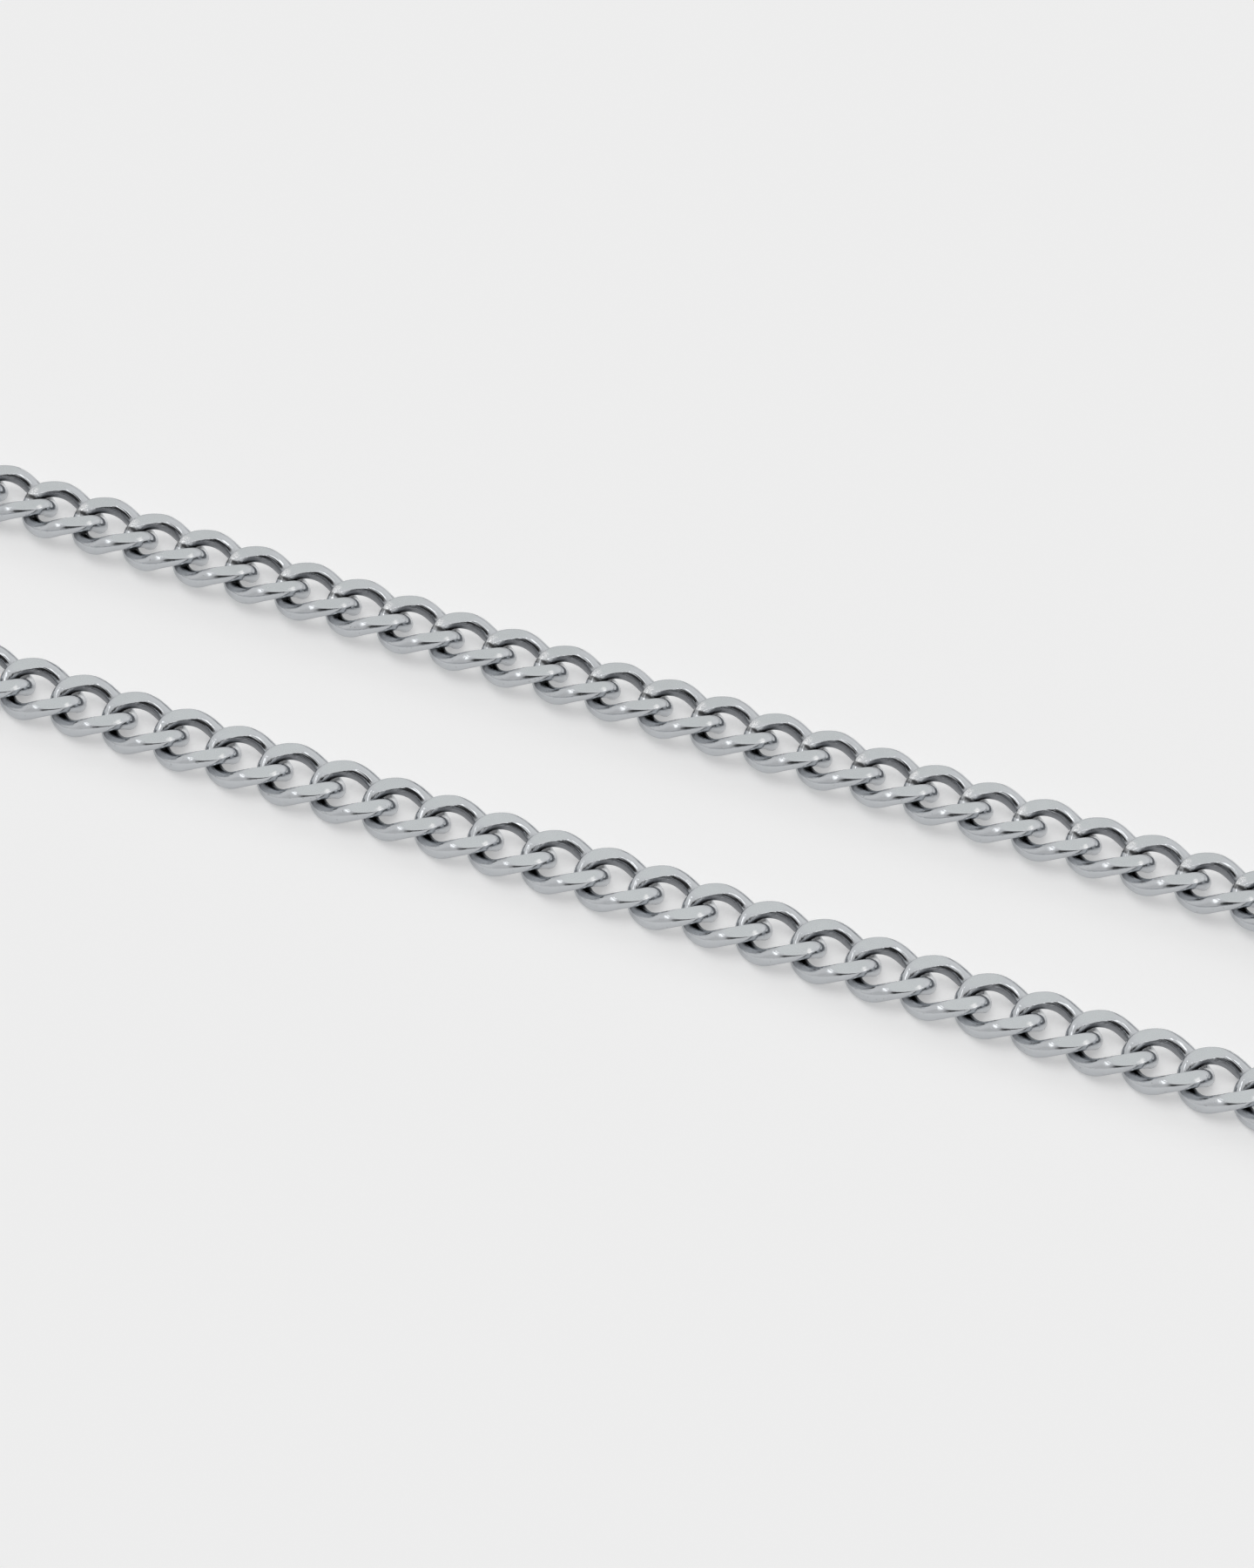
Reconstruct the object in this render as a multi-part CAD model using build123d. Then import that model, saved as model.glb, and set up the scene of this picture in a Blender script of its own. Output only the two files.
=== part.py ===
from build123d import *
import os
from functools import cache
from math import acos, atan2, cos, degrees, dist, pi, radians, sin, sqrt

# A flat-cut curb necklace, closed into one long loop and lying on a flat surface.
# Millimetres and degrees. The two straight strands run along X, the near strand on the
# -Y side and the far strand on the +Y side. +Z is up, and the origin is on the surface,
# under the middle of the whole necklace.

# One link: round wire bent to an oval, twisted, then ground flat on both faces. The side
# slope is how steeply the wire climbs as it crosses the link's short axis. The end arc's
# share is its tangent length as a part of the side arc's.
wire_diameter = 1.16
hole_length = 4.04
hole_width = 2.68
flat_thickness = 1.84
side_slope = 34.0
end_arc_share = 0.78

# Clearances between one link and the next
link_gap = 0.112
end_slack = 0.048

# The loop that the chain lies in. The far links stand the stagger further along X than
# the near ones. The far strand leans towards the near one's side, which comes and goes
# over the lean run, and one link in it has turned a little on its own.
link_count = 128
strand_spacing = 16.04
strand_stagger = 1.09
turn_radius = 20.0
flare_radius = 22.0
far_strand_lean = 5.5
lean_run = 60.0
odd_link = 87
odd_link_turn = -3.0

# Clasp: one plain block with an eye at each end
clasp_length = 13.0
clasp_width = 5.6
clasp_thickness = 2.2
clasp_edge = 0.5
eye_depth = 0.3

# Worked out from the sizes above
wire_radius = wire_diameter / 2
half_length = (hole_length + wire_diameter) / 2
half_width = (hole_width + wire_diameter) / 2
pitch = hole_length - link_gap - end_slack
eye_spacing = clasp_length - 2 * eye_depth
loop_length = (link_count + 1) * pitch + eye_spacing


def arc_points(start, tangent, end, steps):
    """Points along the arc that leaves start in the direction tangent and reaches end."""
    chord = end - start
    sideways = chord - tangent * chord.dot(tangent)
    radius = chord.length**2 / (2 * sideways.length)
    sweep_angle = 2 * atan2(sideways.length, chord.dot(tangent))
    across = sideways.normalized()
    angles = [sweep_angle * step / steps for step in range(steps + 1)]
    return [start + (tangent * sin(a) + across * (1 - cos(a))) * radius for a in angles]


def quarter_joints(twist):
    """End, joint and side of a quarter of the wire's centreline, and the two tangents.

    Two arcs meet at the joint with one common tangent. The end lies on the link's long
    axis, turned by the twist, and the side lies on its short axis, climbing by the slope.
    """
    end = Vector(half_length, 0, 0)
    side = Vector(0, half_width, 0)
    end_way = Vector(0, cos(radians(twist)), -sin(radians(twist)))
    side_way = Vector(-cos(radians(side_slope)), 0, sin(radians(side_slope)))
    span = side - end
    mixed = end_way * end_arc_share + side_way
    square = mixed.dot(mixed) - (1 + end_arc_share) ** 2
    middle = span.dot(mixed)
    side_reach = (middle + sqrt(middle**2 - square * span.dot(span))) / square
    if side_reach < 0:
        side_reach = (middle - sqrt(middle**2 - square * span.dot(span))) / square
    first_corner = end + end_way * (side_reach * end_arc_share)
    second_corner = side - side_way * side_reach
    run = second_corner - first_corner
    joint = first_corner + run * (end_arc_share / (1 + end_arc_share))
    return end, joint, side, end_way, run.normalized()


def centreline_points(twist, steps=14):
    """Points all round the centreline of one link, by its three half-turn symmetries."""
    end, joint, side, end_way, joint_way = quarter_joints(twist)
    quarter = arc_points(end, end_way, joint, steps) + arc_points(joint, joint_way, side, steps)
    halves = [(1, 1, 1), (-1, 1, -1), (-1, -1, 1), (1, -1, -1)]
    return [(p.X * x, p.Y * y, p.Z * z) for x, y, z in halves for p in quarter]


def neighbour_gap(twist):
    """Least gap between two neighbouring links where the chain turns tightest."""
    turn = pitch / turn_radius
    points = centreline_points(twist)
    moved = []
    for x, y, z in points:
        turned_x = x * cos(turn) - y * sin(turn) + turn_radius * sin(turn)
        turned_y = x * sin(turn) + y * cos(turn) + turn_radius * (1 - cos(turn))
        moved.append((turned_x, turned_y, z))
    return min(dist(a, b) for a in points for b in moved) - wire_diameter


def link_twist(least=35.0, most=60.0, rounds=9):
    """The smallest twist of a link's ends that leaves link_gap to its neighbour."""
    for _ in range(rounds):
        middle = (least + most) / 2
        if neighbour_gap(middle) < link_gap:
            least = middle
        else:
            most = middle
    return most


def wire_arc(start, tangent, end):
    """Round wire bent along one arc."""
    path = Edge.make_tangent_arc(start, tangent, end)
    section = Plane(origin=path @ 0, z_dir=path % 0) * Circle(wire_radius)
    axis = Axis(path.arc_center, (path % 0).cross(path % 1))
    return revolve(section, axis, path.length / path.radius * 180 / pi)


@cache
def make_link():
    """One closed link about the origin, long side on X, cut flat above and below."""
    end, joint, side, end_way, joint_way = quarter_joints(link_twist())
    quarter = wire_arc(end, end_way, joint) + wire_arc(joint, joint_way, side)
    wire = quarter
    for axis in (Axis.X, Axis.Y, Axis.Z):
        wire = wire + quarter.rotate(axis, 180)
    slab = Box(4 * half_length, 4 * half_width, flat_thickness)
    return (wire & slab).solid()


def flare_angle(end_run):
    """How far the strand turns outwards before the end turn, whose top is end_run long."""
    rise = strand_spacing / 2 + flare_radius - end_run / 2
    return degrees(acos(rise / (flare_radius + turn_radius)))


def near_route():
    """The near half of the loop, from the clasp's end to the opposite end."""
    clasp_run = eye_spacing + pitch
    left_angle = flare_angle(clasp_run)
    right_angle = flare_angle(0)
    turns = [
        (turn_radius, 90 + left_angle),
        (flare_radius, -left_angle),
        (flare_radius, -right_angle),
        (turn_radius, 90 + right_angle),
    ]
    arc_length = sum(radius * radians(abs(angle)) for radius, angle in turns)
    straight_length = loop_length / 2 - clasp_run / 2 - arc_length
    pieces = [Line((0, 0), (0, -clasp_run / 2))]
    for number, (radius, angle) in enumerate(turns):
        if number == 2:
            last = pieces[-1]
            pieces.append(Line(last @ 1, last @ 1 + (last % 1) * straight_length))
        last = pieces[-1]
        pieces.append(JernArc(last @ 1, last % 1, radius, angle))
    return Wire(pieces)


def place_on_loop(distance, route, middle):
    """Point and heading of the loop, this far along it from the clasp's end."""
    on_near_side = distance <= loop_length / 2
    along = distance if on_near_side else loop_length - distance
    share = along / (loop_length / 2)
    point = route @ share
    way = route % share
    heading = degrees(atan2(way.Y, way.X))
    if on_near_side:
        return point.X - middle, point.Y, heading
    return point.X - middle, -point.Y, 180 - heading


def link_lean(distance):
    """Lean of a link about the chain's line: none on the near strand, full on the far."""
    rising = (distance - loop_length / 2) / lean_run + 0.5
    falling = (loop_length - distance) / lean_run
    return far_strand_lean * max(0, min(1, rising, falling))


@cache
def link_at_rest(lean, turn=0):
    """The link over the origin, lifted so that it lies on the surface at this lean.

    A further turn about X is made in place, as its neighbours hold it at that height.
    """
    leaning = make_link().rotate(Axis.X, lean)
    height = -leaning.bounding_box().min.Z
    return leaning.rotate(Axis.X, turn).moved(Location((0, 0, height)))


def make_strand(numbers, route, middle):
    """A run of separate links along the loop."""
    links = []
    for number in numbers:
        distance = eye_spacing / 2 + (number + 1) * pitch - strand_stagger / 2
        x, y, heading = place_on_loop(distance, route, middle)
        turn = odd_link_turn if number == odd_link else 0
        link = link_at_rest(link_lean(distance), turn)
        links.append(link.moved(Location((x, y, 0), (0, 0, heading))))
    return Compound(links)


def make_clasp(end_x):
    """A plain block across the clasp's end of the loop, with half a link at each end."""
    block = Box(clasp_length, clasp_width, clasp_thickness)
    block = fillet(block.edges(), clasp_edge)
    block = block.moved(Location((0, 0, clasp_thickness / 2)))
    half_space = Box(2 * half_length, 4 * half_width, 2 * flat_thickness)
    eye = link_at_rest(0) & half_space.moved(Location((half_length, 0, 0)))
    eye = eye.moved(Location((eye_spacing / 2, 0, 0)))
    clasp = block + eye + eye.rotate(Axis.Z, 180)
    return clasp.moved(Location((end_x, strand_stagger / 2, 0), (0, 0, -90)))


def main():
    route = near_route()
    box = route.bounding_box()
    clasp_side = box.min.X - clasp_width / 2
    link_side = box.max.X + half_width + wire_radius
    middle = (clasp_side + link_side) / 2
    half_count = link_count // 2
    parts = {
        "near_strand": make_strand(range(half_count), route, middle),
        "far_strand": make_strand(range(half_count, link_count), route, middle),
        "clasp": make_clasp(box.min.X - middle),
    }
    os.makedirs("parts", exist_ok=True)
    for name, shape in parts.items():
        export_step(shape, f"parts/{name}.step")
    print("pitch", round(pitch, 3), "loop length", round(loop_length, 1))


main()
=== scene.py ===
"""Flat-cut curb chain necklace in polished steel, dressed around its packed construction.

Lengths are in metres and angles in radians unless a name says otherwise. The strands run
along X, +Z is up, and the necklace lies on the floor at Z = 0.
"""

from math import atan2, cos, pi, radians, sin, sqrt

import bpy
import numpy as np
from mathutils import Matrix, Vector


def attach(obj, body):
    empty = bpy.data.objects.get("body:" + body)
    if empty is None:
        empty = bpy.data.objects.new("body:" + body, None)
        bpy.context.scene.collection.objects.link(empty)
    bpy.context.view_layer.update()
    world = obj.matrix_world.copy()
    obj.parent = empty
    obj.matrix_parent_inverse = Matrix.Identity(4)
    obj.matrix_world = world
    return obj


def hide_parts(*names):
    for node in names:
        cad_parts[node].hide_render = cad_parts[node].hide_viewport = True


bl_info = {
    "name": "Curb Chain Necklace",
    "version": (1, 0, 0),
    "blender": (4, 5, 0),
    "location": "View3D > Sidebar > Necklace",
    "description": "Builds the links, clasp, steel finishes and studio of a curb chain necklace",
    "category": "Object",
}

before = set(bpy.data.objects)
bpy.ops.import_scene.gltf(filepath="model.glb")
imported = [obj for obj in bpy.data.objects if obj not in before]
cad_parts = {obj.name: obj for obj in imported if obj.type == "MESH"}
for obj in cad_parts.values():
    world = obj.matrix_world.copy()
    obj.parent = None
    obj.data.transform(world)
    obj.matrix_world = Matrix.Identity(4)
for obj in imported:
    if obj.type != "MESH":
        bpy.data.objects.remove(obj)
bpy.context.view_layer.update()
MM = 0.001
BODY = "root"
UP = Vector((0, 0, 1))


# Sizes and colours that a user would change


class LinkSizes(bpy.types.PropertyGroup):
    """Sizes of one link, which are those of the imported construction."""

    wire_diameter: bpy.props.FloatProperty(
        name="Wire Diameter",
        description="Thickness of the round wire before it is ground",
        default=1.16 * MM,
        precision=5,
        unit="LENGTH",
    )
    hole_length: bpy.props.FloatProperty(
        name="Hole Length",
        description="Clear length inside a link",
        default=4.04 * MM,
        precision=5,
        unit="LENGTH",
    )
    hole_width: bpy.props.FloatProperty(
        name="Hole Width",
        description="Clear width inside a link",
        default=2.68 * MM,
        precision=5,
        unit="LENGTH",
    )
    flat_thickness: bpy.props.FloatProperty(
        name="Flat Thickness",
        description="Thickness of the chain between its two ground faces",
        default=1.84 * MM,
        precision=5,
        unit="LENGTH",
    )
    side_slope: bpy.props.FloatProperty(
        name="Side Slope",
        description="How steeply the wire climbs where it crosses the link's short axis",
        default=radians(34.0),
        subtype="ANGLE",
    )
    end_twist: bpy.props.FloatProperty(
        name="End Twist",
        description="How far the wire leans where it crosses the link's long axis",
        default=radians(48.33),
        subtype="ANGLE",
    )
    end_arc_share: bpy.props.FloatProperty(
        name="End Arc Share",
        description="Tangent length of the end arc as a part of the side arc's",
        default=0.78,
    )
    pitch: bpy.props.FloatProperty(
        name="Pitch",
        description="Distance from the middle of one link to the middle of the next",
        default=3.88 * MM,
        precision=5,
        unit="LENGTH",
    )
    edge_softness: bpy.props.FloatProperty(
        name="Edge Softness",
        description="Rounding of the ground faces' edges, as a part of the wire's radius",
        default=0.17,
        subtype="FACTOR",
    )
    rings: bpy.props.IntProperty(
        name="Rings",
        description="Steps along the wire of one link",
        default=76,
    )


class ClaspSizes(bpy.types.PropertyGroup):
    """Sizes of the clasp, which is a plain guess."""

    length: bpy.props.FloatProperty(
        name="Length",
        description="Length of the block along the chain",
        default=13.0 * MM,
        precision=5,
        unit="LENGTH",
    )
    width: bpy.props.FloatProperty(
        name="Width",
        description="Width of the block across the chain",
        default=5.6 * MM,
        precision=5,
        unit="LENGTH",
    )
    thickness: bpy.props.FloatProperty(
        name="Thickness",
        description="Height of the block",
        default=2.2 * MM,
        precision=5,
        unit="LENGTH",
    )
    edge: bpy.props.FloatProperty(
        name="Edge",
        description="Radius of the block's rounded edges",
        default=0.5 * MM,
        precision=5,
        unit="LENGTH",
    )
    eye_depth: bpy.props.FloatProperty(
        name="Eye Depth",
        description="How far the middle of each eye lies inside the block's end",
        default=0.3 * MM,
        precision=5,
        unit="LENGTH",
    )
    seam_place: bpy.props.FloatProperty(
        name="Seam Place",
        description="Distance of the two fine seams from the block's middle",
        default=4.7 * MM,
        precision=5,
        unit="LENGTH",
    )
    seam_width: bpy.props.FloatProperty(
        name="Seam Width",
        description="Width of a seam",
        default=0.16 * MM,
        precision=5,
        unit="LENGTH",
    )
    seam_depth: bpy.props.FloatProperty(
        name="Seam Depth",
        description="Depth of a seam",
        default=0.06 * MM,
        precision=5,
        unit="LENGTH",
    )


class SteelFinish(bpy.types.PropertyGroup):
    """Colours, painted shade and roughness of the steel."""

    ground_colour: bpy.props.FloatVectorProperty(
        name="Ground Colour",
        description="Tint of the faces that are ground flat",
        default=(0.566, 0.593, 0.604),
        subtype="COLOR",
        size=3,
    )
    round_colour: bpy.props.FloatVectorProperty(
        name="Round Colour",
        description="Tint of the polished round wire",
        default=(0.555, 0.573, 0.594),
        subtype="COLOR",
        size=3,
    )
    ground_roughness: bpy.props.FloatProperty(
        name="Ground Roughness",
        description="Roughness of the ground faces",
        default=0.26,
        subtype="FACTOR",
    )
    round_roughness: bpy.props.FloatProperty(
        name="Round Roughness",
        description="Roughness of the round wire outside the links",
        default=0.17,
        subtype="FACTOR",
    )
    rubbed_roughness: bpy.props.FloatProperty(
        name="Rubbed Roughness",
        description="Roughness of the wire where the links rub on each other",
        default=0.09,
        subtype="FACTOR",
    )
    # Painted shade: a darker colour for the wire that faces into the links, where shade falls inside
    # them
    inner_shade_colour: bpy.props.FloatVectorProperty(
        name="Inner Shade Colour",
        description="Tint of the wire that faces into the links",
        default=(0.245, 0.252, 0.268),
        subtype="COLOR",
        size=3,
    )
    inner_roughness: bpy.props.FloatProperty(
        name="Inner Roughness",
        description="Roughness of the wire that faces into the links",
        default=0.32,
        subtype="FACTOR",
    )


class StudioLook(bpy.types.PropertyGroup):
    """The camera's place and the light of the studio."""

    azimuth: bpy.props.FloatProperty(
        name="Camera Azimuth",
        description="Turn of the camera round the necklace, from straight in front",
        default=radians(24.78),
        subtype="ANGLE",
    )
    elevation: bpy.props.FloatProperty(
        name="Camera Elevation",
        description="Height of the camera above the floor as an angle",
        default=radians(45.1),
        subtype="ANGLE",
    )
    distance: bpy.props.FloatProperty(
        name="Camera Distance",
        description="Distance from the camera to the point that it looks at",
        default=528.6 * MM,
        unit="LENGTH",
    )
    target: bpy.props.FloatVectorProperty(
        name="Camera Target",
        description="The point in the middle of the picture",
        default=(3.944 * MM, 0.610 * MM, 0.92 * MM),
        subtype="XYZ",
        unit="LENGTH",
        size=3,
    )
    lens: bpy.props.FloatProperty(
        name="Lens",
        description="Focal length in millimetres, for a 36 mm long side",
        default=182.8,
    )
    floor_colour: bpy.props.FloatVectorProperty(
        name="Floor Colour",
        description="Colour of the plain pale floor",
        default=(0.80, 0.80, 0.80),
        subtype="COLOR",
        size=3,
    )
    floor_glow: bpy.props.FloatProperty(
        name="Floor Glow",
        description="Light that comes through the floor from below",
        default=0.337,
    )
    backdrop: bpy.props.FloatProperty(
        name="Backdrop",
        description="Grey value beyond the floor",
        default=0.855,
    )
    dome_strength: bpy.props.FloatProperty(
        name="Dome Strength",
        description="Strength of the soft light on the floor",
        default=0.603,
    )
    lamp_strength: bpy.props.FloatProperty(
        name="Lamp Strength",
        description="Brightness of the lamps that the steel mirrors",
        default=2.0,
    )


# Node trees


class Field:
    """A number or vector in a node tree, on which Python's operators add nodes."""

    def __init__(self, tree, socket):
        self.tree = tree
        self.socket = socket

    def __add__(self, other):
        return self.tree.operate("ADD", self, other)

    def __radd__(self, other):
        return self.tree.operate("ADD", other, self)

    def __sub__(self, other):
        return self.tree.operate("SUBTRACT", self, other)

    def __rsub__(self, other):
        return self.tree.operate("SUBTRACT", other, self)

    def __mul__(self, other):
        return self.tree.operate("MULTIPLY", self, other)

    def __rmul__(self, other):
        return self.tree.operate("MULTIPLY", other, self)

    def __truediv__(self, other):
        return self.tree.operate("DIVIDE", self, other)

    def __rtruediv__(self, other):
        return self.tree.operate("DIVIDE", other, self)

    def __pow__(self, other):
        return self.tree.operate("POWER", self, other)


class NodeTree:
    """Adds and links nodes in one shader or geometry tree."""

    def __init__(self, tree):
        self.tree = tree
        tree.nodes.clear()

    def feed(self, socket, value):
        """Links a field to a socket, or sets the socket's own value."""
        if isinstance(value, Field):
            self.tree.links.new(value.socket, socket)
        else:
            socket.default_value = value

    def node(self, kind, settings=None, inputs=None):
        """A node of this kind, with its settings made before its sockets are fed."""
        made = self.tree.nodes.new(kind)
        for name, value in (settings or {}).items():
            setattr(made, name, value)
        for key, value in (inputs or {}).items():
            self.feed(made.inputs[key], value)
        return made

    def field(self, kind, settings=None, inputs=None, output=0):
        """One output of a new node."""
        return Field(self, self.node(kind, settings, inputs).outputs[output])

    def operate(self, operation, *values):
        """A Math node, or a Vector Math node where one of the values is a vector."""
        sockets = [value.socket for value in values if isinstance(value, Field)]
        if any(socket.type in ("VECTOR", "RGBA") for socket in sockets):
            return self.vector(operation, *values)
        inputs = dict(enumerate(values))
        return self.field("ShaderNodeMath", {"operation": operation}, inputs)

    def vector(self, operation, first, second=None):
        """A Vector Math node, which scales where the second value is a number."""
        is_number = isinstance(second, (int, float))
        is_number = is_number or (isinstance(second, Field) and second.socket.type == "VALUE")
        if operation == "MULTIPLY" and isinstance(first, Field) and first.socket.type == "VALUE":
            return self.vector(operation, second, first)
        if operation == "MULTIPLY" and is_number:
            return self.field("ShaderNodeVectorMath", {"operation": "SCALE"}, {0: first, 3: second})
        output = 1 if operation in ("DOT_PRODUCT", "LENGTH") else 0
        inputs = {0: first} if second is None else {0: first, 1: second}
        return self.field("ShaderNodeVectorMath", {"operation": operation}, inputs, output)

    def part(self, vector, axis):
        """One component of a vector."""
        return self.field("ShaderNodeSeparateXYZ", None, {0: vector}, axis)

    def limit(self, value, low=0.0, high=1.0):
        """The value kept between two numbers."""
        return self.field("ShaderNodeClamp", None, {"Value": value, "Min": low, "Max": high})

    def blend(self, share, first, second):
        """A number mixed from two others."""
        inputs = {"Factor": share, "A": first, "B": second}
        return self.field("ShaderNodeMix", {"data_type": "FLOAT"}, inputs)

    def tint(self, share, first, second):
        """A colour mixed from two others."""
        inputs = {0: share, 6: colour(first), 7: colour(second)}
        return self.field("ShaderNodeMix", {"data_type": "RGBA"}, inputs, 2)

    def step(self, value, low, high):
        """0 below low and 1 above high, with a smooth rise between them."""
        inputs = {"Value": value, "From Min": low, "From Max": high}
        return self.field("ShaderNodeMapRange", {"interpolation_type": "SMOOTHSTEP"}, inputs)

    def ramp(self, value, stops):
        """A colour ramp through a list of positions and grey values."""
        made = self.node("ShaderNodeValToRGB", None, {0: value})
        elements = made.color_ramp.elements
        while len(elements) < len(stops):
            elements.new(1.0)
        for element, (position, shade) in zip(elements, stops):
            element.position = position
            element.color = colour(shade)
        return Field(self, made.outputs[0])

    def store(self, geometry, name, value, kind="FLOAT", domain="POINT"):
        """The geometry with a value stored on it under this name."""
        settings = {"data_type": kind, "domain": domain}
        inputs = {"Geometry": geometry, "Name": name, "Value": value}
        return self.field("GeometryNodeStoreNamedAttribute", settings, inputs)


def colour(value):
    """A colour with its alpha, from a field, a grey value, or three numbers."""
    if isinstance(value, Field):
        return value
    if isinstance(value, (int, float)):
        return (value, value, value, 1.0)
    return (*value, 1.0)


def geometry_tree(name, kinds, output):
    """A geometry tree with named inputs and one output, its builder, and its input fields."""
    group = bpy.data.node_groups.new(name, "GeometryNodeTree")
    for label, kind in kinds.items():
        group.interface.new_socket(label, in_out="INPUT", socket_type=f"NodeSocket{kind}")
    group.interface.new_socket(output, in_out="OUTPUT", socket_type="NodeSocketGeometry")
    tree = NodeTree(group)
    given = tree.node("NodeGroupInput")
    inputs = {socket.name: Field(tree, socket) for socket in given.outputs if socket.name}
    return group, tree, inputs


# Where the links lie


def island_tree():
    """A geometry tree that joins loose triangles and numbers the separate links."""
    group, tree, inputs = geometry_tree("separate_links", {"Strand": "Geometry"}, "Numbered")
    joined = tree.field(
        "GeometryNodeMergeByDistance",
        None,
        {"Geometry": inputs["Strand"], "Distance": 0.0001 * MM},
    )
    island = tree.field("GeometryNodeInputMeshIsland", None, None, "Island Index")
    numbered = tree.store(joined, "link", island, "INT", "FACE")
    tree.node("NodeGroupOutput", None, {"Numbered": numbered})
    return group


def separate_links(node):
    """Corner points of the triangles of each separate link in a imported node."""
    copy = bpy.data.objects.new("numbered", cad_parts[node].data.copy())
    bpy.context.scene.collection.objects.link(copy)
    copy.modifiers.new("number", "NODES").node_group = island_tree()
    bpy.context.view_layer.update()
    mesh = copy.evaluated_get(bpy.context.evaluated_depsgraph_get()).data
    points = np.zeros(len(mesh.vertices) * 3)
    mesh.vertices.foreach_get("co", points)
    corners = np.zeros(len(mesh.loops), int)
    mesh.loops.foreach_get("vertex_index", corners)
    numbers = np.zeros(len(mesh.polygons), int)
    mesh.attributes["link"].data.foreach_get("value", numbers)
    triangles = points.reshape(-1, 3)[corners.reshape(-1, 3)]
    bpy.data.objects.remove(copy)
    return [triangles[numbers == number] for number in range(numbers.max() + 1)]


def link_place(triangles):
    """Centre, long axis and upward axis of one link, from the spread of its surface."""
    doubled = np.cross(triangles[:, 1] - triangles[:, 0], triangles[:, 2] - triangles[:, 0])
    areas = np.linalg.norm(doubled, axis=1) / 2
    centre = (triangles.mean(axis=1) * areas[:, None]).sum(axis=0) / areas.sum()
    corners = triangles - centre
    sums = corners.sum(axis=1)
    spread = np.einsum("n,nki,nkj->ij", areas, corners, corners)
    spread += np.einsum("n,ni,nj->ij", areas, sums, sums)
    axes = np.linalg.eigh(spread)[1]
    upward = axes[:, 0] * np.sign(axes[2, 0])
    lengthways = axes[:, 2] * np.sign(axes[0, 2])
    return centre, lengthways, upward


def strand_places(node):
    """The places of a strand's links, in order from one end of the necklace to the other."""
    places = [link_place(triangles) for triangles in separate_links(node)]
    return sorted(places, key=lambda place: place[0][0])


# The shape of one link


def arc_points(start, tangent, end, steps):
    """Points along the arc that leaves start in the direction tangent and reaches end."""
    chord = end - start
    sideways = chord - tangent * chord.dot(tangent)
    radius = chord.length_squared / (2 * sideways.length)
    sweep = 2 * atan2(sideways.length, chord.dot(tangent))
    across = sideways.normalized()
    angles = [sweep * step / steps for step in range(steps)]
    return [start + (tangent * sin(a) + across * (1 - cos(a))) * radius for a in angles]


def quarter_points(sizes, steps):
    """A quarter of a link's centreline, from its end to its side, as two tangent arcs."""
    half_length = (sizes.hole_length + sizes.wire_diameter) / 2
    half_width = (sizes.hole_width + sizes.wire_diameter) / 2
    share = sizes.end_arc_share
    end = Vector((half_length, 0, 0))
    side = Vector((0, half_width, 0))
    end_way = Vector((0, cos(sizes.end_twist), -sin(sizes.end_twist)))
    side_way = Vector((-cos(sizes.side_slope), 0, sin(sizes.side_slope)))
    span = side - end
    mixed = end_way * share + side_way
    square = mixed.dot(mixed) - (1 + share) ** 2
    middle = span.dot(mixed)
    reaches = [
        (middle + sign * sqrt(middle**2 - square * span.dot(span))) / square for sign in (1, -1)
    ]
    side_reach = max(reaches)
    first_corner = end + end_way * (side_reach * share)
    second_corner = side - side_way * side_reach
    run = second_corner - first_corner
    joint = first_corner + run * (share / (1 + share))
    points = arc_points(end, end_way, joint, steps)
    return points + arc_points(joint, run.normalized(), side, steps) + [side]


def centreline(sizes, steps=24):
    """The closed centreline of a link, from a quarter of it and its half-turn symmetries."""
    quarter = quarter_points(sizes, steps)
    backwards = quarter[::-1]
    second = [Vector((-p.x, p.y, -p.z)) for p in backwards[1:]]
    third = [Vector((-p.x, -p.y, p.z)) for p in quarter[1:]]
    fourth = [Vector((p.x, -p.y, -p.z)) for p in backwards[1:-1]]
    points = quarter + second + third + fourth
    mesh = bpy.data.meshes.new("link_centreline")
    edges = [(i, (i + 1) % len(points)) for i in range(len(points))]
    mesh.from_pydata(points, edges, [])
    line = bpy.data.objects.new("link_centreline", mesh)
    bpy.context.scene.collection.objects.link(line)
    return line


# Just short of the end of the closed centreline, where it would start again
CURVE_END = 0.999999

# How near two points are when they are joined where the swept wire closes
SEAM_REACH = 0.002 * MM

# Points along half a ring of wire: over each ground face, round each face's edge and down
# the side. An edge's points are spread over twice the half edge's angle, about a middle that
# is no nearer to the ring's top or bottom than the least edge angle.
FLAT_STEPS = 3
EDGE_STEPS = 3
SIDE_STEPS = 6
HALF_RING_STEPS = 2 * FLAT_STEPS + 2 * EDGE_STEPS + SIDE_STEPS
HALF_EDGE = 0.16
LEAST_EDGE_ANGLE = 0.5

# How much more the faces' edges are rounded at a link's ends, as a part of the softness
END_SOFTENING = 1.5

# A painted highlight on the edge of each link's flat: its middle in the link's own axes, how far it
# reaches, and over what distance it fades
HIGHLIGHT_PLACE = (2.48 * MM, -1.14 * MM, 0.90 * MM)
HIGHLIGHT_REACH = 0.34 * MM
HIGHLIGHT_FADE = 0.30 * MM

# How near a neighbouring link the steel gets painted shade, and over what distance that shade fades
CREVICE_SHADE_REACH = 0.36 * MM
CREVICE_SHADE_FADE = 0.22 * MM

# The speckled joint on the far strand's links, and the start, bend and end of the painted shadow in
# the gap beside it
JOINT_PLACE = (-2.66 * MM, 0.36 * MM, 0.60 * MM)
GAP_SHADE_PLACES = [
    (-3.04 * MM, 0.12 * MM, 0.41 * MM),
    (-2.26 * MM, -0.57 * MM, 1.00 * MM),
    (-1.81 * MM, 0.75 * MM, 0.06 * MM),
]


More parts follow.
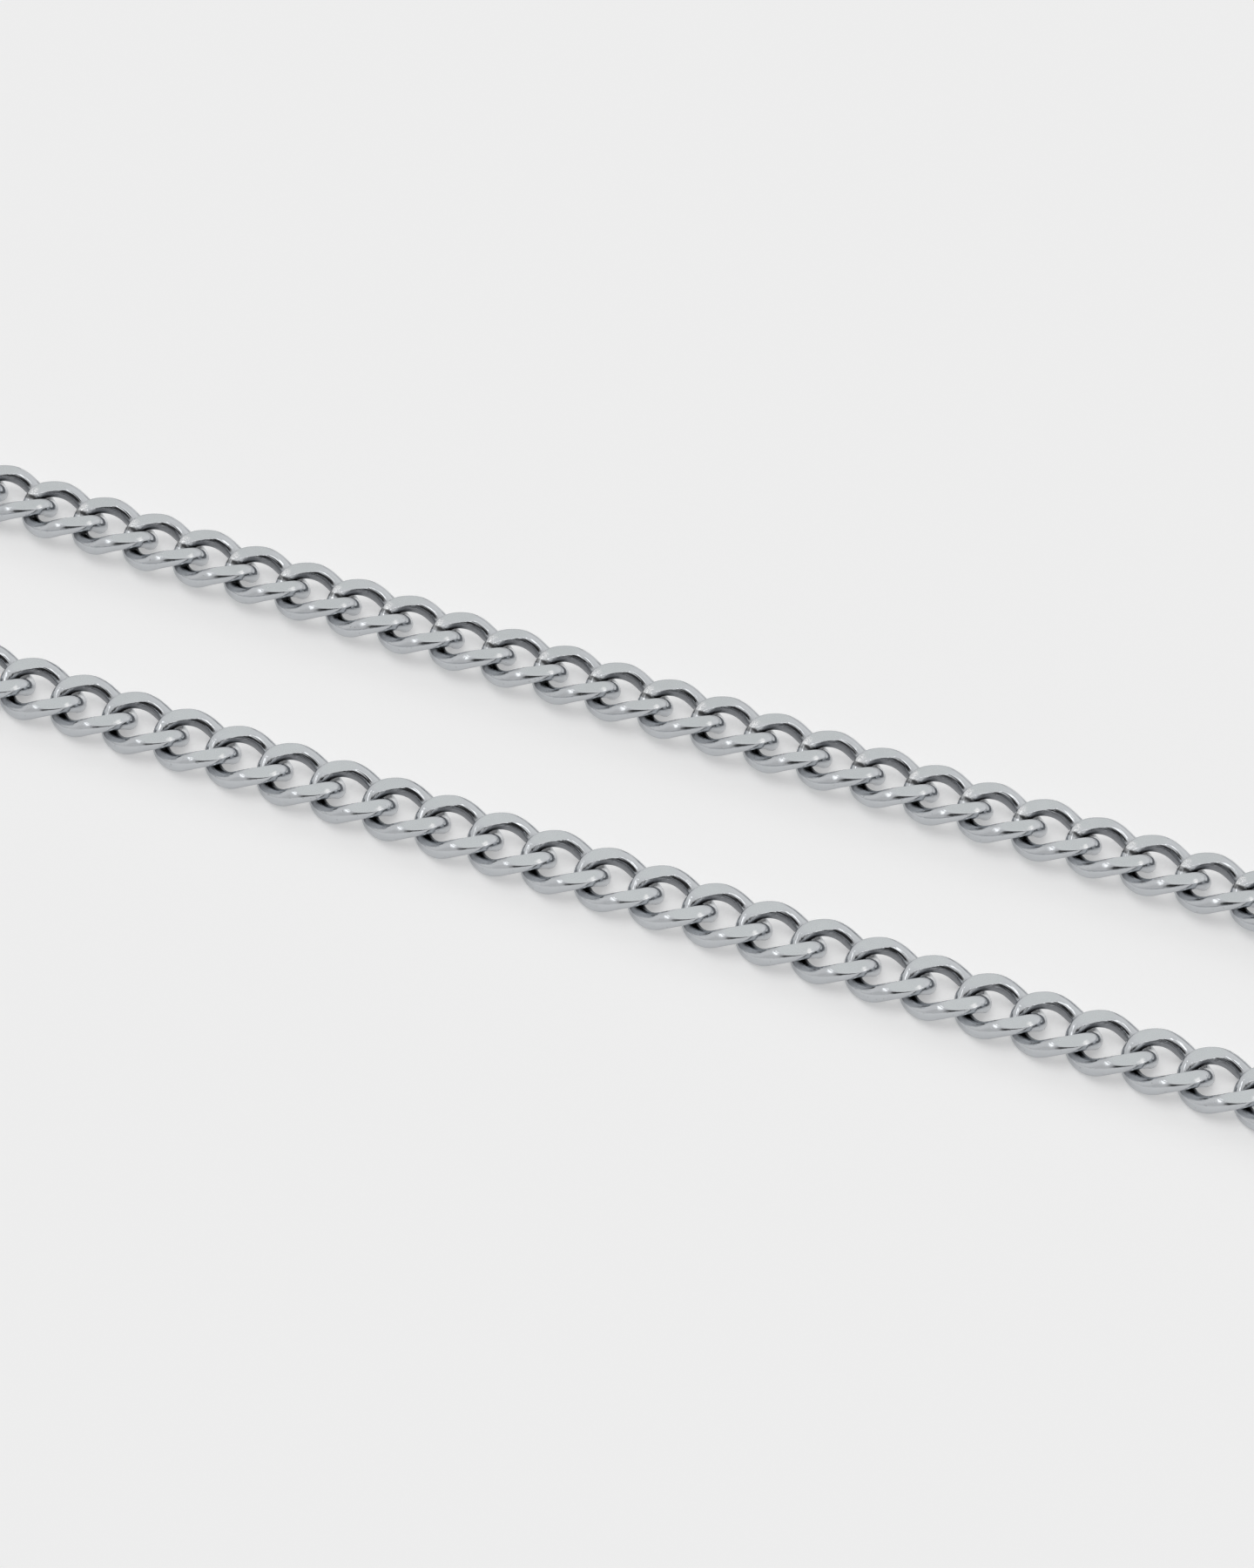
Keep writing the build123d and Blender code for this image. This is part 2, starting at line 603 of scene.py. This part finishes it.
def wire_axes(tree, line, along):
    """Points of the centreline, with a level and an upright axis across the wire at each."""
    drawn = tree.field("GeometryNodeObjectInfo", None, {"Object": line}, "Geometry")
    curve = tree.field("GeometryNodeMeshToCurve", None, {"Mesh": drawn})
    sample = tree.node(
        "GeometryNodeSampleCurve",
        {"mode": "FACTOR", "use_all_curves": True},
        {"Curves": curve, "Factor": tree.limit(along, 0.0, CURVE_END)},
    )
    middle = Field(tree, sample.outputs["Position"])
    way = Field(tree, sample.outputs["Tangent"])
    level = tree.vector("NORMALIZE", tree.vector("CROSS_PRODUCT", way, tuple(UP)))
    return middle, level, tree.vector("CROSS_PRODUCT", level, way)


def ring_angle(tree, steps, top_cut, bottom_cut):
    """Angle from the ring's top after so many steps, with short steps round the edges."""

    def edge_angle(cut):
        """The angle from the ring's top or bottom to the ground face's edge, if any."""
        angle = tree.operate("ARCCOSINE", tree.limit(cut, -1.0, 1.0))
        return tree.operate("SMOOTH_MAX", angle, LEAST_EDGE_ANGLE, 0.2)

    top_angle = edge_angle(top_cut)
    bottom_angle = edge_angle(bottom_cut)
    spans = [
        (FLAT_STEPS, top_angle - HALF_EDGE),
        (EDGE_STEPS, 2 * HALF_EDGE),
        (SIDE_STEPS, pi - top_angle - bottom_angle - 2 * HALF_EDGE),
        (EDGE_STEPS, 2 * HALF_EDGE),
        (FLAT_STEPS, bottom_angle - HALF_EDGE),
    ]
    angle = 0.0
    done = 0
    for count, span in spans:
        angle = tree.limit((steps - done) / count) * span + angle
        done += count
    return angle


def swept_link(tree, inputs):
    """One closed link about the origin, ground flat, with what its finish reads."""
    grid_inputs = {
        "Size X": 1.0,
        "Size Y": 1.0,
        "Vertices X": inputs["Rings"] + 1,
        "Vertices Y": 2 * HALF_RING_STEPS + 1,
    }
    grid = tree.field("GeometryNodeMeshGrid", None, grid_inputs)
    place = tree.field("GeometryNodeInputPosition")
    along = tree.part(place, 0) + 0.5
    signed = tree.part(place, 1) * 2

    middle, level, upright = wire_axes(tree, inputs["Centreline"], along)
    radius = inputs["Wire Radius"]
    half_thickness = inputs["Flat Thickness"] * 0.5
    reach = radius * tree.part(upright, 2)
    top_cut = (half_thickness - tree.part(middle, 2)) / reach
    bottom_cut = (half_thickness + tree.part(middle, 2)) / reach
    steps = (1 - tree.operate("ABSOLUTE", signed)) * HALF_RING_STEPS
    angle = ring_angle(tree, steps, top_cut, bottom_cut)
    rise = tree.operate("COSINE", angle)
    sideways = tree.operate("SINE", angle) * tree.operate("SIGN", signed)

    near_end = tree.operate("ABSOLUTE", tree.operate("COSINE", along * (2 * pi)))
    soft = inputs["Edge Softness"] * (1 + tree.step(near_end, 0.80, 0.96) * END_SOFTENING)
    cut_rise = tree.operate("SMOOTH_MIN", rise, top_cut, soft)
    cut_rise = tree.operate("SMOOTH_MAX", cut_rise, 0 - bottom_cut, soft)
    point = middle + level * (sideways * radius) + upright * (cut_rise * radius)

    above = tree.step(rise - top_cut, 0.0, soft)
    below = tree.step(0 - rise - bottom_cut, 0.0, soft)
    centreward = tree.vector("NORMALIZE", middle * (-1.0, -1.0, 0.0))
    outward = level * sideways + upright * rise
    inward = tree.vector("DOT_PRODUCT", outward, centreward) * 0.5 + 0.5
    off_top = tree.step(0.42 - tree.part(outward, 2), 0.0, 0.16)
    from_highlight = tree.vector("LENGTH", point - HIGHLIGHT_PLACE)
    ring_place = tree.field("ShaderNodeCombineXYZ", None, {0: sideways, 1: rise})
    stored = tree.store(grid, "ground", tree.operate("MAXIMUM", above, below))
    stored = tree.store(stored, "inward", inward)
    # Where the wire faces into the link below its top edge, which gets painted shade and a duller
    # finish
    stored = tree.store(stored, "inside", tree.step(inward, 0.55, 0.75) * off_top)
    stored = tree.store(stored, "worn", tree.step(HIGHLIGHT_REACH - from_highlight, 0.0, HIGHLIGHT_FADE))
    stored = tree.store(stored, "ring_place", ring_place, "FLOAT_VECTOR")
    shaped = tree.field("GeometryNodeSetPosition", None, {"Geometry": stored, "Position": point})
    closing = {"Geometry": shaped, "Distance": SEAM_REACH}
    return tree.field("GeometryNodeMergeByDistance", None, closing)


def marked_link(tree, link, inputs):
    """The link marked with painted shade in its crevices beside the neighbours, its soldered joint,
    and a painted shadow in the gap beside the joint.
    """
    neighbours = tree.node("GeometryNodeJoinGeometry")
    for direction in (1, -1):
        shift = tree.field("ShaderNodeCombineXYZ", None, {0: inputs["Pitch"] * direction})
        moving = {"Geometry": link, "Translation": shift}
        tree.feed(neighbours.inputs[0], tree.field("GeometryNodeTransform", None, moving))

    def distance_from(target, element):
        """Distance of each point of the link from this geometry."""
        settings = {"target_element": element}
        return tree.field("GeometryNodeProximity", settings, {0: target}, "Distance")

    clearance = distance_from(Field(tree, neighbours.outputs[0]), "FACES")
    start, bend, end = GAP_SHADE_PLACES
    gap_shade_inputs = {"Start": start, "Middle": bend, "End": end}
    gap_shade_curve = tree.field("GeometryNodeCurveQuadraticBezier", None, gap_shade_inputs)
    gap_shade_line = tree.field("GeometryNodeCurveToMesh", None, {"Curve": gap_shade_curve})
    from_gap_shade = distance_from(gap_shade_line, "EDGES")
    from_joint = tree.vector("LENGTH", tree.field("GeometryNodeInputPosition") - JOINT_PLACE)
    # Painted shade where a neighbouring link comes near
    crevice = tree.step(CREVICE_SHADE_REACH - clearance, 0.0, CREVICE_SHADE_FADE)
    has_joints_and_gap_shade = inputs["Joints And Gap Shade"]
    marked = tree.store(link, "crevice", crevice)
    # Painted shadow along the gap beside the joint, fading a millimetre from its line
    marked = tree.store(marked, "gap", has_joints_and_gap_shade * (1 - from_gap_shade / MM))
    marked = tree.store(marked, "joint", has_joints_and_gap_shade * (1 - from_joint / MM))
    return tree.field("GeometryNodeSetShadeSmooth", None, {"Geometry": marked})


def repeated_link(tree, link, inputs):
    """The link at each of the places, turned to the axes stored there, in the steel."""

    def place_axis(name):
        """An axis that a place stores under this name."""
        settings = {"data_type": "FLOAT_VECTOR"}
        return tree.field("GeometryNodeInputNamedAttribute", settings, {0: name})

    turn = tree.field(
        "FunctionNodeAxesToRotation",
        {"primary_axis": "Z", "secondary_axis": "X"},
        {"Primary Axis": place_axis("upward"), "Secondary Axis": place_axis("lengthways")},
    )
    laying = {"Points": inputs["Places"], "Instance": link, "Rotation": turn}
    laid = tree.field("GeometryNodeInstanceOnPoints", None, laying)
    chance = tree.node("FunctionNodeRandomValue", {"data_type": "FLOAT"}, {"Seed": inputs["Seed"]})
    chosen = Field(tree, chance.outputs["Value"])
    varied = tree.store(laid, "variety", chosen, "FLOAT", "INSTANCE")
    real = tree.field("GeometryNodeRealizeInstances", None, {"Geometry": varied})
    dressing = {"Geometry": real, "Material": inputs["Steel"]}
    return tree.field("GeometryNodeSetMaterial", None, dressing)


def link_tree():
    """A geometry tree that sweeps, grinds and repeats a link on the points it is given."""
    kinds = {
        "Places": "Geometry",
        "Centreline": "Object",
        "Wire Radius": "Float",
        "Flat Thickness": "Float",
        "Pitch": "Float",
        "Edge Softness": "Float",
        "Rings": "Int",
        "Joints And Gap Shade": "Float",
        "Seed": "Int",
        "Steel": "Material",
    }
    group, tree, inputs = geometry_tree("curb_links", kinds, "Links")
    link = marked_link(tree, swept_link(tree, inputs), inputs)
    tree.node("NodeGroupOutput", None, {"Links": repeated_link(tree, link, inputs)})
    return group


def place_mesh(name, places):
    """A mesh of one point for each link, with the link's axes as attributes."""
    mesh = bpy.data.meshes.new(name)
    mesh.from_pydata([place[0] for place in places], [], [])
    for attribute, column in (("lengthways", 1), ("upward", 2)):
        layer = mesh.attributes.new(attribute, "FLOAT_VECTOR", "POINT")
        layer.data.foreach_set("vector", np.array([place[column] for place in places]).ravel())
    return mesh


def laid_links(name, places, tree, line, sizes, steel, seed, joints_and_gap_shade=0.0):
    """One run of finished links as a plain mesh, with the speckled joints and the painted shadow
    beside them at 1 and without at 0.
    """
    run = bpy.data.objects.new(name, place_mesh(name, places))
    bpy.context.scene.collection.objects.link(run)
    modifier = run.modifiers.new("links", "NODES")
    modifier.node_group = tree
    values = {
        "Centreline": line,
        "Wire Radius": sizes.wire_diameter / 2,
        "Flat Thickness": sizes.flat_thickness,
        "Pitch": sizes.pitch,
        "Edge Softness": sizes.edge_softness,
        "Rings": sizes.rings,
        "Joints And Gap Shade": joints_and_gap_shade,
        "Seed": seed,
        "Steel": steel,
    }
    for item in tree.interface.items_tree:
        if item.in_out == "INPUT" and item.name in values:
            modifier[item.identifier] = values[item.name]
    bpy.context.view_layer.update()
    evaluated = run.evaluated_get(bpy.context.evaluated_depsgraph_get())
    mesh = bpy.data.meshes.new_from_object(evaluated)
    run.modifiers.remove(modifier)
    run.data = mesh
    return run


# The clasp

# Steps round each rounded edge of the block, and the least radius of its corners where it is
# drawn in
EDGE_ROUND_STEPS = 6
LEAST_CORNER = 0.01 * MM


def round_section(half_width, half_height, corner):
    """Points round a rectangle with rounded corners, from its right side over its top."""
    points = []
    for quarter, (side, rise) in enumerate(((1, 1), (-1, 1), (-1, -1), (1, -1))):
        for step in range(EDGE_ROUND_STEPS + 1):
            angle = (quarter + step / EDGE_ROUND_STEPS) * pi / 2
            across = side * (half_width - corner) + corner * cos(angle)
            points.append((across, rise * (half_height - corner) + corner * sin(angle)))
    return points


def clasp_stations(sizes):
    """Places along the block, and how far its surface is drawn in at each."""
    seam = sizes.seam_width / 2
    half = [
        (sizes.seam_place - seam, 0.0),
        (sizes.seam_place - seam / 2, sizes.seam_depth),
        (sizes.seam_place + seam / 2, sizes.seam_depth),
        (sizes.seam_place + seam, 0.0),
    ]
    for step in range(EDGE_ROUND_STEPS + 1):
        angle = step / EDGE_ROUND_STEPS * pi / 2
        along = sizes.length / 2 - sizes.edge * (1 - sin(angle))
        half.append((along, sizes.edge * (1 - cos(angle))))
    return [(-along, inset) for along, inset in reversed(half)] + half


def clasp_block(sizes, middle):
    """The block of the clasp, which lies along Y at the end of the necklace."""
    points = []
    stations = clasp_stations(sizes)
    for along, inset in stations:
        half_width = sizes.width / 2 - inset
        half_height = sizes.thickness / 2 - inset
        corner = max(sizes.edge - inset, LEAST_CORNER)
        for across, rise in round_section(half_width, half_height, corner):
            place = (middle.x + across, middle.y - along, sizes.thickness / 2 + rise)
            points.append(place)
    count = len(points) // len(stations)
    faces = [tuple(reversed(range(count))), tuple(range(len(points) - count, len(points)))]
    for ring in range(len(stations) - 1):
        start = ring * count
        for step in range(count):
            after = (step + 1) % count
            faces.append((start + step, start + after, start + count + after, start + count + step))
    mesh = bpy.data.meshes.new("clasp_block")
    mesh.from_pydata(points, [], faces)
    mesh.shade_smooth()
    mesh.set_sharp_from_angle(angle=radians(35))
    block = bpy.data.objects.new("clasp_block", mesh)
    bpy.context.scene.collection.objects.link(block)
    return block


# Finishes


def new_material(name):
    """An empty node material and the builder of its tree."""
    material = bpy.data.materials.new(name)
    material.use_nodes = True
    return material, NodeTree(material.node_tree)


def steel_material(name, finish):
    """Steel that is ground on its flats, satin outside the links and bright where they rub, with
    painted shade and painted highlights in its colour.
    """
    material, tree = new_material(name)
    place = tree.field("ShaderNodeTexCoord", None, None, "Object")

    def painted(name, output="Fac"):
        """What the links' own tree left on the surface under this name."""
        return tree.field("ShaderNodeAttribute", {"attribute_name": name}, None, output)

    def noise(scale, detail=2.0, vector=place):
        """Noise with this many spots to the metre, or to the wire's radius on a ring."""
        inputs = {"Vector": vector, "Scale": scale, "Detail": detail}
        return tree.field("ShaderNodeTexNoise", None, inputs)

    # Where each kind of surface is
    ground = painted("ground")
    inward = painted("inward")
    variety = painted("variety")
    round_side = 1 - ground
    rubbed = tree.step(inward, 0.28, 0.42) * round_side
    inside = painted("inside") * round_side
    satin = tree.step(0.40 - inward, 0.0, 0.16) * round_side

    # Noises from coarse to fine, and streaks drawn along the wire
    cloud = noise(1300.0)
    blotch = noise(3200.0, 1.0)
    dent = noise(5200.0, 1.0)
    speck = tree.step(noise(6500.0, 0.0), 0.76, 0.84)
    grain = noise(12000.0, 3.0)
    pitting = noise(16000.0, 1.0)
    shift = tree.field("ShaderNodeCombineXYZ", None, {2: variety * 60})
    drawn = noise(5.5, 1.0, painted("ring_place", "Vector") + shift)

    # Marks with ragged edges: a painted highlight, the speckled joint and a painted shadow in the
    # gap
    ragged = blotch - 0.5
    worn = tree.step(painted("worn") + ragged * 0.7, 0.15, 0.85)
    joint = tree.step(painted("joint") + ragged * 0.3, 0.42, 0.66)
    # Painted shadow in the gap beside each joint, standing in for the dark opening there
    gap = tree.step(painted("gap") + ragged * 0.12, 0.77, 0.90)
    flecked = joint * tree.step(pitting, 0.35, 0.65)

    # Colour, roughness and relief
    shade = tree.tint(ground, tuple(finish.round_colour), tuple(finish.ground_colour))
    # Painted shade on the wire that faces into the links
    shade = tree.tint(inside * 0.9, shade, tuple(finish.inner_shade_colour))
    shade = shade * (0.93 + cloud * 0.08 + grain * 0.04 + variety * 0.03)
    for share, grey in (
        (speck * satin * 0.30, 0.10),
        # Painted shade in the crevices beside the neighbouring links
        (painted("crevice") * round_side * 0.80, 0.05),
        # Painted highlight near each flat's edge
        (worn * 0.6, 1.0),
        (flecked * 0.8, 0.95),
        # Painted shadow in the gap beside the joint
        (gap * 0.92, 0.02),
    ):
        shade = tree.tint(share, shade, grey)

    dull = tree.blend(ground, finish.round_roughness, finish.ground_roughness)
    dull = tree.blend(rubbed, dull, finish.rubbed_roughness)
    dull = tree.blend(inside, dull, finish.inner_roughness)
    roughness = dull + ragged * 0.12

    height = grain * 0.07 + blotch * 0.25 + dent * round_side * 0.45 - speck * satin * 0.3
    height = height + drawn * rubbed * 2.0 + pitting * joint * 1.6
    bump = tree.field(
        "ShaderNodeBump", None, {"Strength": 1.0, "Distance": 0.010 * MM, "Height": height}
    )
    surface = tree.node(
        "ShaderNodeBsdfPrincipled",
        None,
        {
            "Base Color": shade,
            "Metallic": 1.0,
            "Roughness": tree.limit(roughness, 0.04, 1.0),
            "Normal": bump,
        },
    )
    tree.node("ShaderNodeOutputMaterial", None, {"Surface": Field(tree, surface.outputs[0])})
    return material


def floor_material(look):
    """The plain pale floor, lit a little from below."""
    material, tree = new_material("pale_floor")
    surface = tree.node(
        "ShaderNodeBsdfPrincipled",
        None,
        {
            "Base Color": colour(tuple(look.floor_colour)),
            "Roughness": 1.0,
            "Specular IOR Level": 0.0,
            "Emission Color": colour(look.floor_glow),
            "Emission Strength": 1.0,
        },
    )
    tree.node("ShaderNodeOutputMaterial", None, {"Surface": Field(tree, surface.outputs[0])})
    return material


# The studio

# Grey of the walls that the steel mirrors and of the dome that lights the floor, along the
# half circle from the camera's side of the floor, at 0, over the zenith to the far side, at 1
WALL_GREYS = [
    (0.00, 0.76),
    (0.30, 0.78),
    (0.42, 0.88),
    (0.72, 0.95),
    (0.84, 0.90),
    (0.93, 0.70),
    (1.00, 0.45),
]
DOME_GREYS = [
    (0.15, 0.00),
    (0.22, 0.45),
    (0.55, 0.50),
    (0.72, 0.70),
    (0.78, 1.90),
    (0.88, 1.90),
    (0.93, 0.00),
]

# Oval patches of the studio: the lamps, the dark side round the camera, and the bright part
# of the dome. Each has its middle as a tilt along that half circle and a turn aside to its
# right, then its reach both ways, all in degrees, and the softness of its edge.
LAMPS = [
    (78, -42, 34, 6, 0.35),
    (107, -25, 6, 6, 0.35),
    (60, 29, 4.5, 22, 0.35),
    (67, 47, 10, 8, 0.35),
]
DARK_SIDE = (22, 0, 24, 27, 0.30)
DARK_SIDE_GREY = 0.03
OVERHEAD = (92, 0, 26, 26, 0.40)
OVERHEAD_GREY = 2.7


def studio_axes(look):
    """Level directions towards the camera and to its right."""
    towards = Vector((sin(look.azimuth), -cos(look.azimuth), 0))
    rightward = Vector((cos(look.azimuth), sin(look.azimuth), 0))
    return towards, rightward


def make_world(look):
    """White walls and four lamps for the steel to mirror, and a dome that lights the floor."""
    towards, rightward = studio_axes(look)
    world = bpy.data.worlds.new("studio")
    world.use_nodes = True
    tree = NodeTree(world.node_tree)
    way = tree.field("ShaderNodeTexCoord", None, None, "Generated")
    front = tree.vector("DOT_PRODUCT", way, tuple(towards))
    right = tree.vector("DOT_PRODUCT", way, tuple(rightward))
    tilt = tree.operate("ARCTAN2", tree.part(way, 2), front) * (180 / pi)
    aside = tree.operate("ARCSINE", right) * (180 / pi)
    share = tree.limit(tilt / 180)

    def patch(tilt_middle, aside_middle, tilt_reach, aside_reach, softness):
        """1 in an oval patch of the studio and 0 outside it."""
        down = ((tilt - tilt_middle) / tilt_reach) ** 2
        across = ((aside - aside_middle) / aside_reach) ** 2
        far = tree.operate("SQRT", down + across)
        return 1 - tree.step(far, 1 - softness, 1 + softness)

    mirrored = tree.ramp(share, WALL_GREYS) * (0.96 + right * 0.08)
    mirrored = tree.tint(patch(*DARK_SIDE), mirrored, DARK_SIDE_GREY)
    for lamp in LAMPS:
        mirrored = tree.tint(patch(*lamp), mirrored, look.lamp_strength)
    dome = tree.tint(patch(*OVERHEAD), tree.ramp(share, DOME_GREYS), OVERHEAD_GREY)

    path = tree.node("ShaderNodeLightPath")
    lit = tree.tint(Field(tree, path.outputs["Is Glossy Ray"]), dome * look.dome_strength, mirrored)
    shown = tree.tint(Field(tree, path.outputs["Is Camera Ray"]), lit, look.backdrop)
    background = tree.node("ShaderNodeBackground", None, {"Color": shown, "Strength": 1.0})
    tree.node("ShaderNodeOutputWorld", None, {"Surface": Field(tree, background.outputs[0])})
    bpy.context.scene.world = world


def make_floor(look):
    """A wide square of floor under the necklace."""
    mesh = bpy.data.meshes.new("floor")
    half_side = 4.0
    drop = 0.004 * MM
    corners = [(-1, -1), (1, -1), (1, 1), (-1, 1)]
    mesh.from_pydata([(x * half_side, y * half_side, -drop) for x, y in corners], [], [(0, 1, 2, 3)])
    mesh.materials.append(floor_material(look))
    floor = bpy.data.objects.new("floor", mesh)
    bpy.context.scene.collection.objects.link(floor)


def make_camera(look):
    """The camera at the photograph's angle."""
    towards, rightward = studio_axes(look)
    data = bpy.data.cameras.new("camera")
    data.lens = look.lens
    data.sensor_width = 36
    data.clip_start = 0.01
    data.clip_end = 50
    back = towards * cos(look.elevation) + UP * sin(look.elevation)
    camera = bpy.data.objects.new("camera", data)
    camera.location = Vector(look.target) + back * look.distance
    camera.rotation_mode = "QUATERNION"
    camera.rotation_quaternion = back.to_track_quat("Z", "Y")
    bpy.context.scene.collection.objects.link(camera)
    bpy.context.scene.camera = camera


# Operators and panel


class NECKLACE_OT_studio(bpy.types.Operator):
    """Makes the floor, the light and the camera"""

    bl_idname = "necklace.studio"
    bl_label = "Studio"

    def execute(self, context):
        look = context.scene.studio_look
        make_world(look)
        make_floor(look)
        make_camera(look)
        context.scene.view_settings.view_transform = "Standard"
        return {"FINISHED"}


class NECKLACE_OT_links(bpy.types.Operator):
    """Makes the links of both strands"""

    bl_idname = "necklace.links"
    bl_label = "Links"

    def execute(self, context):
        sizes = context.scene.link_sizes
        steel = steel_material("flat_cut_steel", context.scene.steel_finish)
        line = centreline(sizes)
        tree = link_tree()
        for seed, (node, strand_joints_and_gap_shade) in enumerate((("near_strand", 0.0), ("far_strand", 1.0))):
            places = strand_places(node)
            half = len(places) // 2
            for side, share in (("left", places[:half]), ("right", places[half:])):
                run = laid_links(f"{node}_{side}", share, tree, line, sizes, steel, seed, strand_joints_and_gap_shade)
                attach(run, BODY)
                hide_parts(node)
        bpy.data.objects.remove(line)
        return {"FINISHED"}


class NECKLACE_OT_clasp(bpy.types.Operator):
    """Makes the clasp, a plain block with an eye at each end"""

    bl_idname = "necklace.clasp"
    bl_label = "Clasp"

    def execute(self, context):
        sizes = context.scene.clasp_sizes
        link_sizes = context.scene.link_sizes
        steel = steel_material("clasp_polish", context.scene.steel_finish)
        corners = [Vector(corner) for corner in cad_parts["clasp"].bound_box]
        middle = sum(corners, Vector()) / len(corners)
        block = clasp_block(sizes, middle)
        block.data.materials.append(steel)
        reach = sizes.length / 2 - sizes.eye_depth
        height = link_sizes.flat_thickness / 2
        places = [
            ((middle.x, middle.y + side * reach, height), (0.0, side, 0.0), tuple(UP))
            for side in (1, -1)
        ]
        line = centreline(link_sizes)
        eyes = laid_links("clasp_eyes", places, link_tree(), line, link_sizes, steel, 2)
        bpy.data.objects.remove(line)
        for piece in (block, eyes):
            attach(piece, BODY)
            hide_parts("clasp")
        return {"FINISHED"}


class NECKLACE_PT_build(bpy.types.Panel):
    """Lists the steps that build the necklace"""

    bl_idname = "NECKLACE_PT_build"
    bl_label = "Necklace"
    bl_space_type = "VIEW_3D"
    bl_region_type = "UI"
    bl_category = "Necklace"

    def draw(self, context):
        for operator in (NECKLACE_OT_links, NECKLACE_OT_clasp, NECKLACE_OT_studio):
            self.layout.operator(operator.bl_idname)


GROUPS = {
    "link_sizes": LinkSizes,
    "clasp_sizes": ClaspSizes,
    "steel_finish": SteelFinish,
    "studio_look": StudioLook,
}
CLASSES = (
    *GROUPS.values(),
    NECKLACE_OT_links,
    NECKLACE_OT_clasp,
    NECKLACE_OT_studio,
    NECKLACE_PT_build,
)


def register():
    for each in CLASSES:
        bpy.utils.register_class(each)
    for name, group in GROUPS.items():
        setattr(bpy.types.Scene, name, bpy.props.PointerProperty(type=group))


def unregister():
    for name in GROUPS:
        delattr(bpy.types.Scene, name)
    for each in reversed(CLASSES):
        bpy.utils.unregister_class(each)


def main():
    register()
    bpy.ops.necklace.links()
    bpy.ops.necklace.clasp()
    bpy.ops.necklace.studio()


if __name__ == "__main__":
    main()
